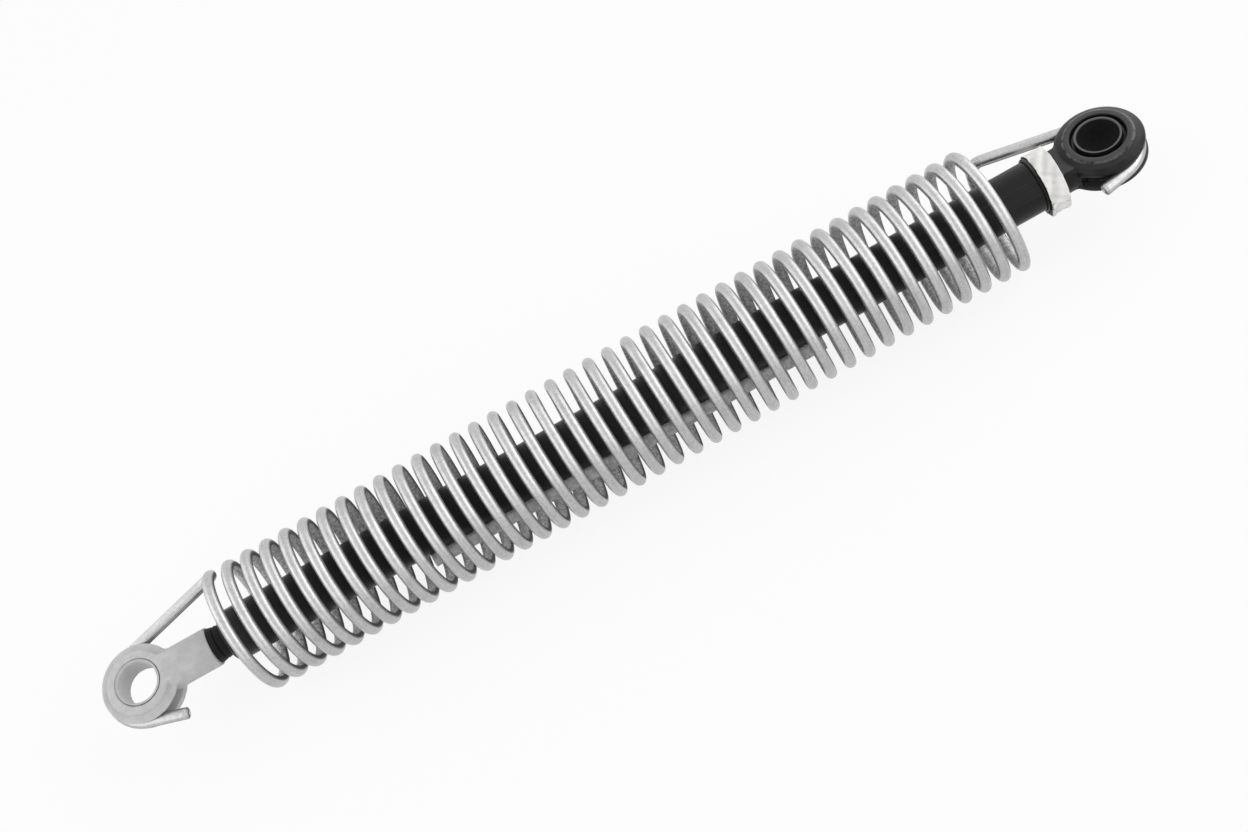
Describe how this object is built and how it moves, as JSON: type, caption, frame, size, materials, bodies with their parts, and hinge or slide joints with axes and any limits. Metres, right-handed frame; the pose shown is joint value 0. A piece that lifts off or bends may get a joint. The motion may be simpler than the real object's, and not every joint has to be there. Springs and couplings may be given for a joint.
{
  "type": "spring-assisted damper strut",
  "caption": "Slim oil and gas damper inside an open-wound extension spring hooked round a grooved eye at each end, for a boot lid or tailgate, shown fully closed.",
  "frame": {"origin": "centre of the tube eye's bore, midway between the flanges of its wire groove", "axes": "+X along the strut from the rod's eye to the tube's eye, +Z along the tube eye's bore"},
  "size_m": [0.3417, 0.04, 0.04],
  "materials": {
    "tube_paint": "black paint, satin gloss",
    "inner_steel": "machined steel",
    "seal_rubber": "nitrile rubber",
    "guide_aluminium": "machined aluminium",
    "black_plastic": "moulded glass-filled nylon, satin",
    "black_bush": "moulded acetal, satin",
    "white_tape": "wrapped cloth-backed tape, creased",
    "grey_strip": "flocked foam strip, mottled",
    "spring_wire": "drawn spring wire, zinc plated",
    "rod_chrome": "ground and hard chromed",
    "collar_rubber": "moulded rubber",
    "grey_plastic": "moulded glass-filled nylon, matt",
    "grey_bush": "moulded acetal, matt",
    "spacer_plastic": "natural nylon",
    "ring_plastic": "filled PTFE"
  },
  "bodies": {
    "tube": {"damper_tube": "tube_paint", "end_plug": "inner_steel", "cover_washer": "inner_steel", "rod_seal": "seal_rubber", "seal_washer": "inner_steel", "rod_guide": "guide_aluminium", "guide_ring": "inner_steel", "tube_eye": "black_plastic", "tube_eye_bush": "black_bush", "tape_band": "white_tape", "anti_rattle_strip": "grey_strip", "extension_spring": "spring_wire"},
    "rod": {"piston_rod": "rod_chrome", "rod_collar": "collar_rubber", "rod_eye": "grey_plastic", "rod_eye_bush": "grey_bush", "rebound_spacer": "spacer_plastic", "backing_washer": "inner_steel", "rebound_shim": "inner_steel", "piston": "inner_steel", "piston_ring": "ring_plastic", "compression_shim": "inner_steel", "piston_nut": "inner_steel"},
    "floating_piston": {"floating_piston": "guide_aluminium", "floating_piston_seal": "seal_rubber"}
  },
  "joints": [
    {"name": "rod_slide", "type": "slide", "parent": "tube", "child": "rod", "axis": [-1, 0, 0], "range_m": [0, 0.1677], "stiffness_N_per_m": 762, "springref_m": -0.1115, "deforming": ["extension_spring"]},
    {"name": "floating_piston_slide", "type": "slide", "parent": "tube", "child": "floating_piston", "axis": [-1, 0, 0], "range_m": [0, 0.0347]}
  ],
  "couplings": [
    {"joint": "floating_piston_slide", "follows": "rod_slide", "ratio": 0.20661}
  ]
}
